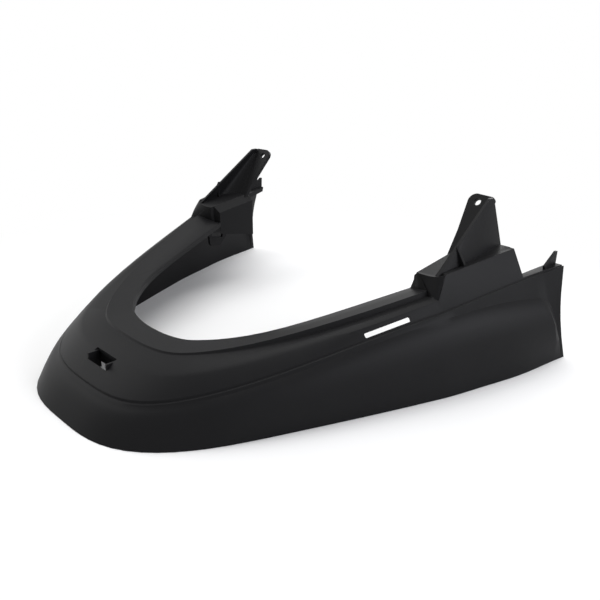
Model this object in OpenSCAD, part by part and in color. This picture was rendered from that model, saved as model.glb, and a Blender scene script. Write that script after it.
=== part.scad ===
// Front mudguard moulding: one U-shaped thin shell with a sloping skirt all
// round, two raised housings at the arm ends and a bored ear on each.
// Millimetres. X across, Y from the nose to the tails, Z up, skirt edge in Z = 0.

/* [Wall] */
// Thickness of the moulded wall
wall = 2.5; // [1.8:0.1:3.5]
// Depth of the turned-down lip round the inner opening
lip_depth = 4.5; // [3:0.5:10]

/* [Shoulder line in plan] */
// Shoulder of the nose, back from the lower edge
nose_y = 37; // [20:1:60]
// Length of the straight pull across the nose
nose_pull = 58.7; // [30:0.1:90]
// Half width over the shoulder where the housing starts
arm_x = 140.1; // [110:0.1:170]
// Distance of that place from the nose edge
arm_y = 208.9; // [160:0.1:260]
// Pull of the arm towards the nose
arm_pull = 180.2; // [100:0.1:220]
// Splay of the arm at the housing
arm_angle = 20.3; // [0:0.1:35]
// Half width at the tail
tail_x = 168.2; // [140:0.1:200]
// Distance of the tail from the nose edge
tail_y = 322; // [280:1:360]
// Splay of the tail
tail_angle = 16; // [0:1:30]

/* [Heights along the shell] */
// Lip at the nose edge line
lip_z = 31.4; // [20:0.1:50]
// Rise of the lip along the arm, per millimetre
lip_rise = 0.15; // [0:0.01:0.3]
// Inner crease at the nose edge line
crease_z = 31; // [20:0.1:50]
// Rise of the inner crease
crease_rise = 0.1833; // [0:0.0001:0.3]
// Drop from the inner crease to the ledge, at the nose
step_nose = 1.2; // [0.5:0.1:4]
// Drop from the inner crease to the ledge, on the arms
step_arm = 3.7; // [0.5:0.1:8]
// Shoulder at the nose edge line
shoulder_z = 28.3; // [20:0.1:50]
// Rise of the shoulder
shoulder_rise = 0.1865; // [0:0.0001:0.3]
// Skirt groove at the nose edge line
groove_z = 18.2; // [10:0.1:40]
// Rise of the skirt groove
groove_rise = 0.2094; // [0:0.0001:0.3]
// Drop from the groove to the top of the skirt
groove_drop = 1.8; // [0.5:0.1:4]
// Depth of the groove
groove_depth = 0.8; // [0.3:0.1:1.5]

/* [Widths across the shell, from the shoulder line] */
// Lip inboard, at the nose
lip_nose = 38.1; // [20:0.1:60]
// Lip inboard, beside the nose
lip_brow = 39.9; // [20:0.1:60]
// Lip inboard, round the corner
lip_corner = 38; // [20:0.1:60]
// Lip inboard, on the arm
lip_arm = 30; // [15:0.1:50]
// Lip inboard, at the housing
lip_end = 31.5; // [15:0.1:50]
// Inner crease inboard, at the nose
crease_nose = 19.7; // [10:0.1:30]
// Inner crease inboard, beside the nose
crease_brow = 20.2; // [10:0.1:30]
// Inner crease inboard, round the corner
crease_corner = 18.4; // [8:0.1:30]
// Inner crease inboard, on the arm
crease_arm = 12.7; // [5:0.1:25]
// Inner crease inboard, at the housing
crease_end = 9.2; // [4:0.1:20]
// Groove outboard, at the nose
groove_nose = 16.8; // [8:0.1:30]
// Groove outboard, beside the nose
groove_brow = 15.7; // [8:0.1:30]
// Groove outboard, round the corner
groove_corner = 10.5; // [4:0.1:20]
// Groove outboard, on the arm
groove_arm = 7.6; // [3:0.1:15]
// Groove outboard, along the housing
groove_end = 3.9; // [2:0.1:12]
// Ledge between groove and skirt
skirt_ledge = 1.6; // [0.5:0.1:4]
// Lower edge outboard, at the nose
edge_nose = 36.6; // [20:0.1:60]
// Lower edge outboard, beside the nose
edge_brow = 35.4; // [20:0.1:60]
// Lower edge outboard, round the corner
edge_corner = 26.4; // [15:0.1:40]
// Lower edge outboard, on the arm
edge_arm = 19.4; // [10:0.1:30]
// Lower edge outboard, at the housing
edge_end = 18.8; // [10:0.1:30]
// Lower edge outboard, at the widest place of the tail
edge_flare = 21.4; // [10:0.1:30]
// Lower edge outboard, at the rear
edge_tail = 17.3; // [5:0.1:25]
// Belly of the skirt at the nose
belly_nose = 1.6; // [0:0.1:6]
// Belly of the skirt on the arms
belly_arm = 4.2; // [0:0.1:8]
// Belly of the skirt where the bulge of the tail ends
belly_tail = 5; // [0:0.1:8]
// Share of the skirt above the bulge, at the tail
bulge_start = 0.27; // [0.1:0.01:0.5]
// Hollow of the rear edge, forward at mid height
rear_hollow = 5; // [0:0.5:10]
// Flat panel left behind the bulge at its top
bulge_back = 16.5; // [5:0.5:40]

/* [Housing] */
// Inner wall of the housing, from the middle
inner_x = 112; // [95:0.5:130]
// Chamfer between that wall and the top, across
inner_lean = 6; // [3:0.5:10]
// Height of the chamfer
inner_knee = 5.5; // [3:0.5:12]
// Foot of the inner wall at its front
inner_foot = 52.8; // [35:0.1:70]
// Fall of that foot towards the rear, per millimetre
inner_fall = 0.217; // [0:0.001:0.4]
// Top of the housing at its front inner corner
top_z = 78.9; // [70:0.1:90]
// Rise of the top towards the rear
top_rise = 0.124; // [0:0.001:0.3]
// Rise of the top towards the outside
top_tilt = 0.05; // [0:0.01:0.3]
// Outer wall of the housing at its front top, from the middle
outer_x = 138.5; // [130:0.5:155]
// Spread of that wall towards the rear, per millimetre
outer_spread = 0.2; // [0:0.01:0.3]
// Outer side of the inner block, from the middle
block_x = 132.4; // [125:0.1:140]
// Rim height at the front
rim_z = 81; // [76:0.1:92]
// Rise of the rim towards the rear
rim_rise = 0.105; // [0:0.005:0.2]
// Width of the rim
rim_width = 3.2; // [2:0.1:6]
// Foot of the outer wall's leaning front, along the rear curve
front_foot = 0.04; // [0.04:0.005:0.1]
// Top of that front
front_top = 0.15; // [0.14:0.005:0.25]
// Front of the inner wall, along the rear curve
inner_front = 0.05; // [0.045:0.005:0.07]
// Place where the inner wall ends, along the rear curve
inner_end = 0.5; // [0.3:0.01:0.7]
// Place of the rear wall, along the rear curve
rear_wall = 0.735; // [0.6:0.005:0.85]
// Inner edge of the top at the rear wall, from the middle
sweep_end = 139; // [125:0.5:145]
// Width of the tail flange at the housing
flange_front = 5.5; // [5:0.1:12]
// Width of the tail flange at the rear edge
flange_width = 8.4; // [6:0.1:14]

/* [Ears] */
// Distance between the two ear bores
ear_spacing = 240; // [200:1:280]
// Bore of each ear
ear_bore = 5.5; // [4:0.1:8]
// Bore centre forward of the rear edge
ear_back = 38.9; // [30:0.1:50]
// Bore centre above the skirt edge
ear_z = 117.2; // [100:0.1:130]
// Lean of the ear plate from level
ear_lean = 52.5; // [40:0.5:80]
// Thickness of the ear plate
ear_wall = 3; // [2:0.1:5]
// Thickness of the web
web_wall = 2.4; // [1.5:0.1:4]
// Bulge of the web towards the outside
web_bulge = 2.2; // [0:0.1:8]

/* [Openings] */
// Length of the nose window across
window_length = 25; // [15:0.5:40]
// Width of the nose window
window_width = 8.4; // [5:0.1:12]
// Front of the window, forward of the nose shoulder
window_front = 7; // [4:0.1:10]
// Depth of the tongue behind the window
tongue_depth = 9.6; // [3:0.1:12]
// Slot length along each arm
slot_length = 35; // [20:0.5:50]
// Slot height
slot_height = 3.4; // [2.5:0.1:8]
// Slot middle, as a share of the front curve
slot_at = 0.926; // [0.6:0.002:0.95]
// Slot's place between shoulder and groove
slot_share = 0.78; // [0.3:0.02:0.85]

/* [Hidden] */
$fn = 48;

function mix(a, b, t) = a + (b - a) * t;
function clamp01(t) = max(0, min(1, t));
function ease(t) = let (k = clamp01(t)) k * k * (3 - 2 * k);
function heading(a) = [sin(a), cos(a)];
function bez(p, t) = pow(1 - t, 3) * p[0] + 3 * pow(1 - t, 2) * t * p[1]
    + 3 * (1 - t) * t * t * p[2] + pow(t, 3) * p[3];
function dbez(p, t) = pow(1 - t, 2) * (p[1] - p[0]) + 2 * (1 - t) * t * (p[2] - p[1])
    + t * t * (p[3] - p[2]);

arm_end = [arm_x, arm_y];
tail_end = [tail_x, tail_y];
front_curve = [[0, nose_y], [nose_pull, nose_y], arm_end - arm_pull * heading(arm_angle), arm_end];
rear_curve = [arm_end, arm_end + 22 * heading(arm_angle),
    tail_end - 50 * heading(tail_angle), tail_end];

// Shoulder point and outward direction at station t: 0 nose, 1 housing, 2 tail
function base(t) = t <= 1 ? bez(front_curve, t) : bez(rear_curve, t - 1);
function across(t) = t <= 1
    ? let (d = dbez(front_curve, t)) [d[1], -d[0]] / norm(d)
    : let (a = mix(arm_angle, 0, t - 1)) [cos(a), -sin(a)];

// Smooth value through knots at t = 0, 1/4, 1/2, 3/4, 1, 4/3, 5/3, 2
function pick(v, i) = i < 0 ? v[-i] : i > 7 ? 2 * v[7] - v[6] : v[i];
function flow(v, t) = let (s = t <= 1 ? 4 * t : 4 + 3 * (t - 1), i = min(6, floor(s)), f = s - i,
    a = pick(v, i - 1), b = pick(v, i), c = pick(v, i + 1), d = pick(v, i + 2))
    b + f * ((c - a) / 2 + f * (a - 2.5 * b + 2 * c - d / 2 + f * (1.5 * (b - c) + (d - a) / 2)));

lip_line = [-lip_nose, -lip_brow, -lip_corner, -lip_arm, -lip_end, -lip_end, -lip_end, -lip_end];
crease_line = [-crease_nose, -crease_brow, -crease_corner, -crease_arm, -crease_end,
    -crease_end, -crease_end, -crease_end];
ear_y = tail_y - ear_back;
groove_line = [groove_nose, groove_brow, groove_corner, groove_arm, groove_end,
    groove_end - 0.2, groove_end - 0.2, groove_end + 0.9];
edge_line = [edge_nose, edge_brow, edge_corner, edge_arm, edge_end, edge_end + 0.7,
    edge_flare, edge_tail];
belly_line = [belly_nose, belly_nose + 0.4, (belly_nose + belly_arm) / 2, belly_arm, belly_arm,
    belly_arm + 0.4, belly_tail, belly_tail];

function y_at(t, u) = base(t)[1] + u * across(t)[1];
function u_at(t, x) = (x - base(t)[0]) / across(t)[0];
function groove_height(y) = groove_z + groove_rise * y - 0.0003 * pow(max(0, y - 110), 2);
function top_height(x, y) = top_z + top_rise * (y - 220) + top_tilt * (x - inner_x - inner_lean);
function rim_height(y) = rim_z + rim_rise * (y - 215);
function rim_out(y) = outer_x + outer_spread * (y - 215);
function rim_in(y) = rim_out(y) - rim_width;

// Places at a station, each as [offset outward, height]
function lip_pt(t) = let (u = flow(lip_line, t)) [u, lip_z + lip_rise * y_at(t, u)];
function crease_pt(t) = let (u = flow(crease_line, t)) [u, crease_z + crease_rise * y_at(t, u)];
function step_pt(t) = let (c = crease_pt(t), y = y_at(t, c[0]))
    [c[0] + 1, c[1] - mix(step_nose, step_arm, clamp01((y - 70) / 60))];
function shoulder_pt(t) = [0, shoulder_z + shoulder_rise * base(t)[1]];
function groove_pt(t) = let (u = flow(groove_line, t)) [u, groove_height(y_at(t, u))];
function skirt_pt(t) = let (u = flow(groove_line, t) + skirt_ledge)
    [u, groove_height(y_at(t, u)) - mix(groove_drop, 0.4, ease((base(t)[1] - tail_y) / 30 + 1))];

// Skirt: a flat panel from the groove to a crease, then a bulge that ends short of the rear edge
function crease_share(t) = let (k = clamp01((base(t)[1] - 180) / (tail_y - bulge_back - 180)))
    mix(0.06, bulge_start, pow(k, 2.2));
function bulge(q) = sin(180 * pow(q, 0.6));
function bulge_end(t, q) = let (y = tail_y - bulge_back * pow(1 - q, 1.5))
    ease((y - base(t)[1]) / 7);
function skirt_row(t, q) = let (a = skirt_pt(t), b = [flow(edge_line, t), 0], c = crease_share(t))
    mix(a, b, mix(c, 1, q)) + [flow(belly_line, t) * bulge(q) * bulge_end(t, q), 0];
function toward(a, b, d) = a + (b - a) * d / norm(b - a);

// The lower part, the same at every station: groove, skirt and lower edge
function low_part(t, smooth) = let (g = groove_pt(t), s = skirt_pt(t), m = (g + s) / 2)
    concat([g, smooth ? m : m - [groove_depth, groove_depth] * 0.7, s],
        [for (q = [0, 0.06, 0.2, 0.4, 0.68, 1]) skirt_row(t, q)]);

// The upper part of the arm: lip, inner panel, crease, ledge and shoulder
function arm_part(t, smooth) = let (l = lip_pt(t), c = crease_pt(t), s = step_pt(t),
    k = shoulder_pt(t), g = groove_pt(t))
    [[l[0], l[1] - lip_depth], smooth ? l : l - [0, 0.9],
        smooth ? toward(l, c, 5) : toward(l, c, 1.4), mix(l, c, 0.55),
        c, s, mix(s, k, 0.5), toward(k, s, 2.2), toward(k, g, 2.2)];

// The upper part at the housing: forms 1 to 2 with the inner block, forms 11 to 12 with the
// inner wall, both with the outer wall's leaning front from foot to top; form 3 is the top
// behind the inner wall, form 4 the tail flange
function at_x(t, x, z) = [u_at(t, x), z];
function on_top(t, x) = let (u = u_at(t, x)) [u, top_height(x, y_at(t, u))];
function inner_bottom(t) = let (y = y_at(t, u_at(t, inner_x))) inner_foot - inner_fall * (y - 225);
function side_x(t) = mix(inner_x + inner_lean + 3, block_x, clamp01((t - 1.006) / 0.064));
function wall_part(t) = let (x = inner_x + inner_lean, c = on_top(t, x))
    [at_x(t, inner_x, inner_bottom(t)), at_x(t, inner_x, c[1] - inner_knee),
        at_x(t, x - 1, c[1] - 1), c, on_top(t, side_x(t))];
function block_part(t) = let (l = lip_pt(t), z = l[1] - 0.4, x = inner_x + inner_lean)
    [l - [0, lip_depth], l - [0, 0.3], at_x(t, x - 0.6, z), on_top(t, x),
        on_top(t, side_x(t))];
function ledge_part(t) = let (k = shoulder_pt(t), g = groove_pt(t), u = u_at(t, side_x(t) + 0.4))
    [[u, k[1] - 0.4], mix([u, k[1] - 0.4], k, 0.5), toward(k, [u, k[1]], 2.2), toward(k, g, 2.2)];
function rim_part(t, smooth) = let (y = base(t)[1], a = rim_in(y), b = rim_out(y),
    z = rim_height(y), f = top_height(a, y),
    v = max(block_x + 2, mix(a - 0.6, sweep_x(t) + 3, 0.18)))
    [on_top(t, v), on_top(t, a - 0.6), at_x(t, a, smooth ? f : z), at_x(t, b, smooth ? f : z)];
function front_part(t, smooth, f) = let (a = ledge_part(t), b = rim_part(t, smooth))
    [for (i = [0:3]) mix(a[i], b[i], i == 0 ? clamp01((f - 0.27) / 0.45) : f)];
function sweep_x(t) = mix(inner_x + inner_lean, sweep_end, clamp01((t - 1 - inner_end) / (rear_wall - inner_end)));
function open_part(t) = let (x = sweep_x(t), v = x + wall + 0.4, w = rim_in(base(t)[1]) - 0.6 - v)
    [on_top(t, x) - [0, lip_depth], on_top(t, x) - [0, 0.3], on_top(t, v), on_top(t, v + 0.35 * w),
        on_top(t, v + 0.65 * w)];
function flange_part(t) = let (g = groove_pt(t),
    w = mix(flange_front, flange_width, (t - 1 - rear_wall) / (1 - rear_wall)))
    [for (k = [0:8]) k == 0 ? g - [w, lip_depth] : g - [w * (1 - max(0, k - 1) / 9), k == 1 ? 0.2 : 0]];
function section(t, form, smooth) = concat(
    form == 0 ? arm_part(t, smooth)
    : form <= 2 ? concat(block_part(t), front_part(t, smooth, form - 1))
    : form >= 11 ? concat(wall_part(t), front_part(t, smooth, form - 11))
    : form == 3 ? concat(open_part(t), rim_part(t, smooth))
    : flange_part(t), low_part(t, smooth));

// Underside of a section, one wall thickness in
function left(a, b) = let (d = b - a) [-d[1], d[0]] / norm(d);
function under(c) = let (n = len(c) - 1) [for (i = [0:n])
    i == 0 ? c[0] + [wall, 0]
    : i == n ? c[n] - [wall * 1.05, 0]
    : let (p = left(c[i - 1], c[i]), q = left(c[i], c[i + 1]))
        c[i] - wall * (p + q) / max(0.7, 1 + p * q)];

// Stations of one arm as [place, form outside, form inside]
front_count = 22;
lag = 0.036;
function lean(k) = clamp01((k - front_foot) / (front_top - front_foot));
function front(k, wall_out, wall_in) = [1 + k, (wall_out ? 11 : 1) + lean(k), (wall_in ? 11 : 1) + lean(k - lag)];
housing = concat([[1.006, 1, 0], front(lag, false, false), front(inner_front, false, false),
    front(inner_front + 0.006, true, false), front(inner_front + lag, true, false),
    front(inner_front + lag + 0.006, true, true), front(0.12, true, true), front(front_top, true, true),
    front(front_top + lag, true, true)], [for (k = [0.23, 0.28, 0.33, 0.385, 0.44]) [1 + k, 12, 12]],
    [[1 + inner_end - 0.024, 12, 12], [1 + inner_end, 12, 3], [1.006 + inner_end, 3, 3]]);
rear = [for (k = [1:3]) [mix(1.006 + inner_end, 1 + rear_wall - 0.03, k / 3), 3, 3]];
back = [[1 + rear_wall - 0.024, 3, 4], [1 + rear_wall, 3, 4], [1.006 + rear_wall, 4, 4]];
tail = [for (k = [1:10]) [mix(1.006 + rear_wall, 2, k / 10), 4, 4]];
arm = concat([for (k = [0:front_count]) [k / front_count, 0, 0]], housing, rear, back, tail);

function rear_bow(t, z) = rear_hollow * pow(clamp01((t - 1.88) / 0.12), 2) * sin(180 * clamp01(1 - z / 72));
function place(t, p, side) = let (q = base(t) + p[0] * across(t))
    [side * q[0], q[1] - rear_bow(t, p[1]), p[1]];
function ring(s, side) = let (o = section(s[0], s[1], false), i = under(section(s[0], s[2], true)),
    n = len(o) - 1) concat([for (p = o) place(s[0], p, side)],
        [for (k = [n:-1:0]) place(s[0], i[k], side)]);
last = len(arm) - 1;
rings = concat([for (k = [last:-1:1]) ring(arm[k], -1)], [for (k = [0:last]) ring(arm[k], 1)]);

module shell() {
    m = len(rings[0]);
    h = m / 2;
    n = len(rings) - 1;
    points = [for (r = rings) for (p = r) p];
    sides = [for (i = [0:n - 1]) for (j = [0:m - 1]) let (a = i * m + j, b = i * m + (j + 1) % m)
        each [[b, a, b + m], [b + m, a, a + m]]];
    cap0 = [for (j = [0:h - 2]) [j, j + 1, m - 2 - j, m - 1 - j]];
    cap1 = [for (j = [0:h - 2]) [n * m + j + 1, n * m + j, n * m + m - 1 - j, n * m + m - 2 - j]];
    polyhedron(points = points, faces = concat(sides, cap0, cap1), convexity = 12);
}

// Ear plate, seen square to its face, from the bore centre
function arc(c, r, a, b) = [for (k = [0:8]) c + r * [cos(mix(a, b, k / 8)), sin(mix(a, b, k / 8))]];
ear_outline = concat([[-4, -46.8], [-5.2, -24]], arc([-2, 0.2], 6.2, 180, 95),
    arc([9.6, 3.2], 2.8, 85, 10), [[13.2, -20], [14.6, -44.4]]);

module on_ear() {
    translate([ear_spacing / 2, ear_y, ear_z]) rotate([ear_lean, 0, 0]) children();
}

// Web: a bulged triangular plate from the front of the block to the ear top and the rear
function on_housing(x, y, lift) = [x, y, top_height(x, y) + lift];
web_front = on_housing(block_x + 3.2, arm_y + 8.6, 0.2);
web_rear = on_housing(block_x + 7.2, ear_y + 7.4, -4.6);
web_top = [block_x, ear_y + 0.9, ear_z + 4.8];
function web_at(p, q) = let (b = mix(web_front, web_rear, p), c = mix(b, web_top + [0, 5 * p - 4, 0], q))
    c + [web_bulge * 4 * p * (1 - p) * (1 - q), 0, 0];
module web() {
    n = 8;
    rows = [0, 0.25, 0.5, 0.75, 1];
    skin = [for (q = rows) for (k = [0:n]) web_at(k / n, q)];
    m = len(skin);
    h = len(rows) - 1;
    w = n + 1;
    faces = concat(
        [for (j = [0:h - 1]) for (k = [0:n - 1]) let (a = j * w + k) each
            [[a, a + w, a + 1], [a + 1, a + w, a + w + 1],
            [m + a, m + a + 1, m + a + w], [m + a + 1, m + a + w + 1, m + a + w]]],
        [for (k = [0:n - 1]) each [[k, k + 1, m + k + 1], [k, m + k + 1, m + k],
            [h * w + k, m + h * w + k, m + h * w + k + 1], [h * w + k, m + h * w + k + 1, h * w + k + 1]]],
        [for (j = [0:h - 1]) let (a = j * w, b = j * w + n) each
            [[a, m + a, m + a + w], [a, m + a + w, a + w], [b, b + w, m + b + w], [b, m + b + w, m + b]]]);
    polyhedron(points = concat(skin, [for (v = skin) v - [web_wall, 0, 0]]), faces = faces);
}

// Hollow-backed corner between ear and web, wider towards the housing
function ear_plane(z) = ear_y + (z - ear_z) / tan(ear_lean);
function web_face(y, z) = let (q = clamp01((z - web_front[2]) / (web_top[2] - web_front[2])),
    p = clamp01((y - mix(web_front[1], web_top[1], q)) / max(8, (web_rear[1] - web_front[1]) * (1 - q))))
    web_at(p, q)[0] - web_wall;
module corner() {
    low = top_height(block_x, ear_y - 20) - 3.4;
    levels = [for (k = [0, 0.1, 0.2, 0.33, 0.49, 0.68, 0.86, 1]) mix(low, ear_z + 0.8, k)];
    n = 6;
    rows = [for (z = levels) let (y = ear_plane(z), r = mix(17, 3, (z - low) / (ear_z + 0.8 - low)),
        x = web_face(y - r / 2, z),
        c = [x - r, y - r]) concat([[x + 1, y + 1.2, z], [x + 1, y - r, z]],
            [for (k = [0:n]) [c[0] + r * cos(90 * k / n), c[1] + r * sin(90 * k / n), z]],
            [[x - r, y + 1.2, z]])];
    m = len(rows[0]);
    h = len(levels) - 1;
    faces = concat(
        [for (j = [0:h - 1]) for (k = [0:m - 1]) let (a = j * m + k, b = j * m + (k + 1) % m) each
            [[a, b, b + m], [a, b + m, a + m]]],
        [for (k = [1:m - 2]) [0, k + 1, k]], [for (k = [1:m - 2]) [h * m, h * m + k, h * m + k + 1]]);
    polyhedron(points = [for (r = rows) for (p = r) p], faces = faces);
}

// Rib between the web and the rim
module gusset() {
    y = web_front[1] + 23.5;
    foot = rim_in(y) + 1.2;
    z = rim_height(y);
    translate([0, y, 0]) rotate([90, 0, 0]) linear_extrude(2)
        polygon([[block_x + 1.6, z + 12.5], [foot, z + 0.8], [foot, z - 3], [block_x + 1.6, z - 3.4]]);
}

// Hook under the lip in front of the inner wall, drawn from the front of the housing
module hook() {
    translate([inner_x, arm_y, inner_foot]) rotate([90, 0, 90]) linear_extrude(wall) difference() {
        polygon([[22.1, 9.2], [20.1, -2.8], [15.1, -7.8], [12.6, -10.3], [2.6, -8.8], [1.1, -6.3],
            [0.6, 0.7], [-5.9, 4.2], [-12.9, 6.7], [-12.9, 8.2], [5.1, 11.2]]);
        polygon([[2.6, -0.3], [15.6, -2.8], [16.6, 1.7], [4.6, 3.7]]);
    }
}

// Fin on the inner edge of the tail flange, rising to the rear over an open notch
fin_length = 15.5;
module fin() {
    foot = place(2, groove_pt(2) - [flange_width, 0], 1);
    translate([foot[0] + 1.7, foot[1], foot[2]]) rotate([0, 0, 88]) rotate([90, 0, 0]) linear_extrude(2)
        polygon([[-fin_length, -3.5], [-7, -3], [-0.6, 0], [-0.2, 9.6], [-2.2, 9.6], [-fin_length, 1]]);
}

// Tongue that hangs behind the nose window
window_y = nose_y - window_front;
module tongue() {
    z = shoulder_z + shoulder_rise * nose_y - 1;
    translate([-window_length / 2 - 1, window_y + window_width + 0.8, z - tongue_depth]) difference() {
        cube([window_length + 2, 2, tongue_depth]);
        translate([window_length / 2 - 3, -1, -1]) cube([7, 4, 4]);
    }
}

module both() {
    children();
    mirror([1, 0, 0]) children();
}

module brackets() {
    both() {
        on_ear() translate([0, 0, -ear_wall]) linear_extrude(ear_wall) polygon(ear_outline);
        web();
        corner();
        gusset();
        hook();
        fin();
    }
}

module ear_bores() {
    both() on_ear() translate([0, 0, -ear_wall - 2]) cylinder(d = ear_bore, h = ear_wall + 10);
}

module nose_window() {
    translate([-window_length / 2, window_y, 20]) cube([window_length, window_width, 30]);
}

// Slot through the panel between shoulder and groove, square to it
slot_pitch = 11;
slot_roll = 50;
module arm_slots() {
    d = base(slot_at + 0.01) - base(slot_at - 0.01);
    m = mix(shoulder_pt(slot_at), groove_pt(slot_at), slot_share);
    both() translate(place(slot_at, m, 1)) rotate([0, 0, atan2(d[1], d[0])]) rotate([0, -slot_pitch, 0])
        rotate([slot_roll, 0, 0]) linear_extrude(16, center = true) offset(r = 1, $fn = 16)
            square([slot_length - 2, slot_height - 2], center = true);
}

// The handed-over frame: the middle of the overall box, on its base
middle_y = (nose_y - edge_nose + tail_y) / 2;
module mudguard() {
    color("#26272b") translate([0, -middle_y, 0]) difference() {
        union() {
            shell();
            brackets();
            tongue();
        }
        ear_bores();
        nose_window();
        arm_slots();
    }
}

mudguard();
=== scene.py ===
import bpy, bmesh, math
from mathutils import Matrix, Vector


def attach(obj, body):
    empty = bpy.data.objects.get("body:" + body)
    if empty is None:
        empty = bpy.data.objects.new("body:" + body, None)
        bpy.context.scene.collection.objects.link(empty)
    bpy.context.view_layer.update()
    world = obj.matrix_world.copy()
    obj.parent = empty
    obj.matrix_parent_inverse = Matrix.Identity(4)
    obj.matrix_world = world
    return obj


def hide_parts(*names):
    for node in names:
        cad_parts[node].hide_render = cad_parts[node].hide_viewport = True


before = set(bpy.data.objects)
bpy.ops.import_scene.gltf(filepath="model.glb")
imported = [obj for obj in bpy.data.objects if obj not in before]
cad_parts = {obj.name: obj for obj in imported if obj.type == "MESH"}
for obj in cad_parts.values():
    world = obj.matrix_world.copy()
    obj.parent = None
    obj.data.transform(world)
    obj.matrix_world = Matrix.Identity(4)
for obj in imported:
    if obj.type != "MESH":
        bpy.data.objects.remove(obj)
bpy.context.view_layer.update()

scene = bpy.context.scene
scene.view_settings.view_transform = "Standard"

# Lengths in mm, in part.scad's own frame
MIDDLE_Y = 161.2        # part.scad's middle_y: the handed-over frame's origin
FRONT_CROWN = 0.9       # how far the housing front swells
FRONT_BACK_Y = 224.0    # where the housing front's hidden back lies
FRONT_BACK_X = (119.5, 138.5)
POCKET_X = (10.9, 12.3)
POCKET_Y, POCKET_Z = 34.6, 27.5
POCKET_SIZE = (1.4, 8.4, 13.0)

# Lengths in m
WELD = 2e-5             # points closer than this are one
SLIVER = 1.5e-4         # edges shorter than this are dissolved
EDGE_RADIUS = 0.0007
SHADED_RADIUS = 0.0004  # rounds the highlights of edges that the modifier can't reach
FLAT = math.radians(0.5)
SHARP = math.radians(31)


def tree(owner):
    owner.use_nodes = True
    t = owner.node_tree
    t.nodes.clear()
    return t


def seen(t):
    """1 for the rays that see the background itself: camera, glossy and transmission rays."""
    path = t.nodes.new("ShaderNodeLightPath")
    s = path.outputs["Is Camera Ray"]
    for name in ("Is Glossy Ray", "Is Transmission Ray"):
        a = t.nodes.new("ShaderNodeMath")
        a.operation = "MAXIMUM"
        t.links.new(s, a.inputs[0])
        t.links.new(path.outputs[name], a.inputs[1])
        s = a.outputs[0]
    return s


def plastic():
    """Satin black moulded plastic: fine grain, a pebble texture, and slow unevenness of colour and gloss."""
    m = bpy.data.materials.new("satin_black_plastic")
    t = tree(m)
    n, l = t.nodes, t.links
    out = n.new("ShaderNodeOutputMaterial")
    b = n.new("ShaderNodeBsdfPrincipled")
    b.inputs["IOR"].default_value = 1.49
    # Well below the usual 0.5, to bring the fronts near the photo's dark tones in a white room
    b.inputs["Specular IOR Level"].default_value = 0.08
    co = n.new("ShaderNodeTexCoord")

    def noise(scale, detail, rough=0.5):
        x = n.new("ShaderNodeTexNoise")
        x.inputs["Scale"].default_value = scale
        x.inputs["Detail"].default_value = detail
        x.inputs["Roughness"].default_value = rough
        l.new(co.outputs["Object"], x.inputs["Vector"])
        return x.outputs["Fac"]

    def remap(s, lo, hi, a, c):
        x = n.new("ShaderNodeMapRange")
        for k, v in (("From Min", lo), ("From Max", hi), ("To Min", a), ("To Max", c)):
            x.inputs[k].default_value = v
        l.new(s, x.inputs["Value"])
        return x.outputs["Result"]

    def add(p, q):
        x = n.new("ShaderNodeMath")
        x.operation = "ADD"
        l.new(p, x.inputs[0])
        l.new(q, x.inputs[1])
        return x.outputs[0]

    cloud = noise(9.0, 4.0)
    grain = noise(2400.0, 3.0, 0.6)
    pebble = noise(850.0, 2.0)
    colour = n.new("ShaderNodeMix")
    colour.data_type = "RGBA"
    colour.inputs["A"].default_value = (0.0070, 0.0070, 0.0075, 1)
    colour.inputs["B"].default_value = (0.0096, 0.0096, 0.0103, 1)
    l.new(remap(cloud, 0.3, 0.7, 0.0, 1.0), colour.inputs["Factor"])
    l.new(colour.outputs["Result"], b.inputs["Base Color"])
    gloss = add(remap(cloud, 0.3, 0.7, 0.40, 0.45), remap(grain, 0.35, 0.65, -0.02, 0.03))
    l.new(gloss, b.inputs["Roughness"])
    rounded = n.new("ShaderNodeBevel")
    rounded.samples = 6
    rounded.inputs["Radius"].default_value = SHADED_RADIUS
    bump = n.new("ShaderNodeBump")
    bump.inputs["Strength"].default_value = 0.16
    bump.inputs["Distance"].default_value = 0.0001
    l.new(rounded.outputs["Normal"], bump.inputs["Normal"])
    l.new(add(grain, pebble), bump.inputs["Height"])
    l.new(bump.outputs["Normal"], b.inputs["Normal"])
    l.new(b.outputs["BSDF"], out.inputs["Surface"])
    return m


def pocket(bm):
    """Side walls under the ends of the nose window."""
    middle = (POCKET_X[0] + POCKET_X[1]) / 2
    size = Matrix.Diagonal((*(s / 1000 for s in POCKET_SIZE), 1))
    for side in (-1, 1):
        place = (side * middle / 1000, (POCKET_Y - MIDDLE_Y) / 1000, POCKET_Z / 1000)
        bmesh.ops.create_cube(bm, size=1.0, matrix=Matrix.Translation(place) @ size)


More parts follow.
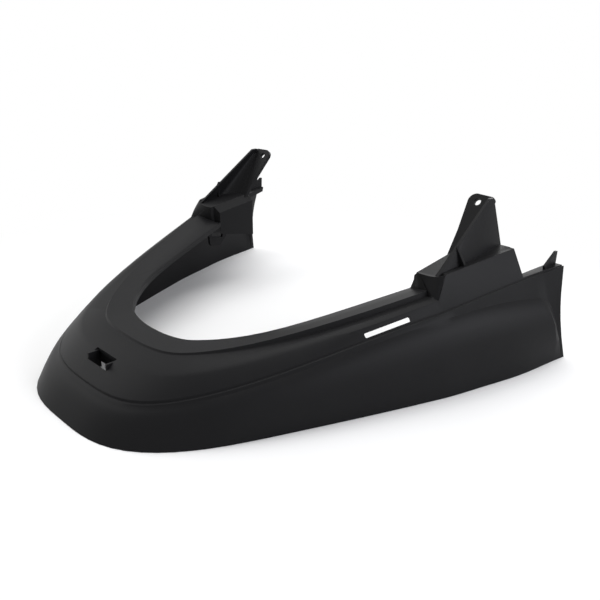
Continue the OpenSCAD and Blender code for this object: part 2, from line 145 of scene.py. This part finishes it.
def block_front(bm, side):
    """Flat front with a rounded corner that joins the inner block to the housing's outer wall."""
    low = [(117.6, 217.3, 63.9), (120.5, 216.0, 63.9), (125.0, 214.0, 64.0), (129.5, 212.2, 64.1),
           (133.5, 210.9, 64.4), (136.8, 210.0, 65.0), (139.5, 209.8, 65.8), (141.3, 211.4, 66.8)]
    top = [(118.1, 216.9, 78.7), (121.5, 215.9, 78.8), (126.0, 215.8, 79.0), (130.0, 216.0, 79.2),
           (133.2, 216.3, 79.5), (136.0, 217.0, 79.9), (138.2, 218.5, 80.5), (139.6, 221.0, 81.3)]
    rows, cols = 7, len(low)
    inner, outer = FRONT_BACK_X

    def at(p):
        return bm.verts.new((side * p[0] / 1000, (p[1] - MIDDLE_Y) / 1000, p[2] / 1000))

    front, back = [], []
    for k in range(rows):
        v = k / (rows - 1)
        crown = FRONT_CROWN * math.sin(math.pi * v)
        line = [tuple(a + (b - a) * v for a, b in zip(p, q)) for p, q in zip(low, top)]
        line = [(x, y - crown * min(1, 0.4 * j), z) for j, (x, y, z) in enumerate(line)]
        front.append([at(p) for p in line])
        back.append([at((max(inner, min(p[0], outer)), FRONT_BACK_Y, p[2] - 0.3)) for p in line])
    faces = []
    for k in range(rows - 1):
        for j in range(cols - 1):
            faces.append((front[k][j], front[k][j + 1], front[k + 1][j + 1], front[k + 1][j]))
            faces.append((back[k][j + 1], back[k][j], back[k + 1][j], back[k + 1][j + 1]))
        faces.append((back[k][0], front[k][0], front[k + 1][0], back[k + 1][0]))
        faces.append((front[k][-1], back[k][-1], back[k + 1][-1], front[k + 1][-1]))
    for j in range(cols - 1):
        faces.append((back[0][j], back[0][j + 1], front[0][j + 1], front[0][j]))
        faces.append((front[-1][j], front[-1][j + 1], back[-1][j + 1], back[-1][j]))
    for f in faces:
        bm.faces.new(f if side > 0 else f[::-1])


def moulded(node, name):
    """The node's own form with its small moulded edge radii and smooth skins."""
    bm = bmesh.new()
    bm.from_mesh(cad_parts[node].data)
    bmesh.ops.remove_doubles(bm, verts=bm.verts, dist=WELD)
    bmesh.ops.dissolve_degenerate(bm, edges=bm.edges, dist=SLIVER)
    bmesh.ops.dissolve_limit(bm, angle_limit=FLAT, verts=bm.verts, edges=bm.edges)
    block_front(bm, 1)
    block_front(bm, -1)
    pocket(bm)
    for f in bm.faces:
        f.smooth = True
    for e in bm.edges:
        e.smooth = len(e.link_faces) == 2 and e.calc_face_angle(0) < SHARP
    me = bpy.data.meshes.new(name)
    bm.to_mesh(me)
    bm.free()
    o = bpy.data.objects.new(name, me)
    scene.collection.objects.link(o)
    mod = o.modifiers.new("edge_radius", "BEVEL")
    mod.limit_method = "ANGLE"
    mod.angle_limit = SHARP
    mod.width = EDGE_RADIUS
    mod.segments = 2
    return o


def white_floor(near, far):
    """Floor that keeps the object's shadow, and from near to far fades into the background's white."""
    bpy.ops.mesh.primitive_plane_add(size=30, location=(0, 0, -0.0003))
    floor = bpy.context.object
    floor.name = "floor"
    m = bpy.data.materials.new("floor_white")
    t = tree(m)
    n, l = t.nodes, t.links
    out = n.new("ShaderNodeOutputMaterial")
    paint = n.new("ShaderNodeBsdfDiffuse")
    paint.inputs["Color"].default_value = (0.93, 0.93, 0.93, 1)
    glow = n.new("ShaderNodeEmission")
    glow.inputs["Strength"].default_value = 1.0
    place = n.new("ShaderNodeNewGeometry")
    length = n.new("ShaderNodeVectorMath")
    length.operation = "LENGTH"
    l.new(place.outputs["Position"], length.inputs[0])
    fade = n.new("ShaderNodeMapRange")
    fade.interpolation_type = "SMOOTHSTEP"
    fade.inputs["From Min"].default_value = near
    fade.inputs["From Max"].default_value = far
    l.new(length.outputs["Value"], fade.inputs["Value"])
    share = n.new("ShaderNodeMath")
    share.operation = "MULTIPLY"
    l.new(fade.outputs["Result"], share.inputs[0])
    l.new(seen(t), share.inputs[1])
    mix = n.new("ShaderNodeMixShader")
    l.new(share.outputs[0], mix.inputs["Fac"])
    l.new(paint.outputs["BSDF"], mix.inputs[1])
    l.new(glow.outputs["Emission"], mix.inputs[2])
    l.new(mix.outputs["Shader"], out.inputs["Surface"])
    floor.data.materials.append(m)


def studio_world(light):
    """A plain light of the given strength on the object, and white where the world is seen."""
    world = bpy.data.worlds.new("studio")
    scene.world = world
    t = tree(world)
    n, l = t.nodes, t.links
    out = n.new("ShaderNodeOutputWorld")
    bg = n.new("ShaderNodeBackground")
    bg.inputs["Color"].default_value = (1, 1, 1, 1)
    level = n.new("ShaderNodeMapRange")
    level.inputs["To Min"].default_value = light
    level.inputs["To Max"].default_value = 1.0
    l.new(seen(t), level.inputs["Value"])
    l.new(level.outputs["Result"], bg.inputs["Strength"])
    l.new(bg.outputs["Background"], out.inputs["Surface"])


def softbox(name, place, aim, size, power, tint=(1, 1, 1)):
    lamp = bpy.data.lights.new(name, "AREA")
    lamp.shape = "RECTANGLE"
    lamp.size, lamp.size_y = size
    lamp.energy = power
    lamp.color = tint
    o = bpy.data.objects.new(name, lamp)
    scene.collection.objects.link(o)
    o.location = place
    o.rotation_euler = (Vector(aim) - Vector(place)).to_track_quat("-Z", "Y").to_euler()


def camera(place, azimuth, elevation, lens):
    cam = bpy.data.objects.new("camera", bpy.data.cameras.new("camera"))
    scene.collection.objects.link(cam)
    cam.location = place
    cam.rotation_euler = (math.radians(90 - elevation), 0, math.radians(azimuth))
    cam.data.lens = lens
    cam.data.sensor_width = 36.0
    cam.data.clip_start, cam.data.clip_end = 0.01, 100
    scene.camera = cam


shell = moulded("mudguard", "moulding")
shell.data.materials.append(plastic())
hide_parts("mudguard")
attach(shell, "root")

white_floor(0.19, 0.42)
studio_world(0.25)
softbox("overhead", (-0.2, 0.5, 1.9), (0, 0, 0.05), (2.0, 1.6), 31)
softbox("left", (-1.7, -0.5, 0.8), (0, 0, 0.05), (1.2, 1.2), 6)
softbox("right", (1.9, 0.6, 0.7), (0, 0, 0.05), (1.2, 1.2), 27, (0.93, 0.94, 1.0))
softbox("behind", (-0.5, 2.1, 0.8), (0, 0, 0.05), (1.6, 0.8), 12)
softbox("front", (-1.0, -0.9, 1.5), (0, 0.05, 0.08), (0.8, 0.8), 5)
# As solved on the photo, whose focal length is 700 pixels of 600
camera((0.3912, -0.3202, 0.2497), 46.074, 22.775, 42.0)
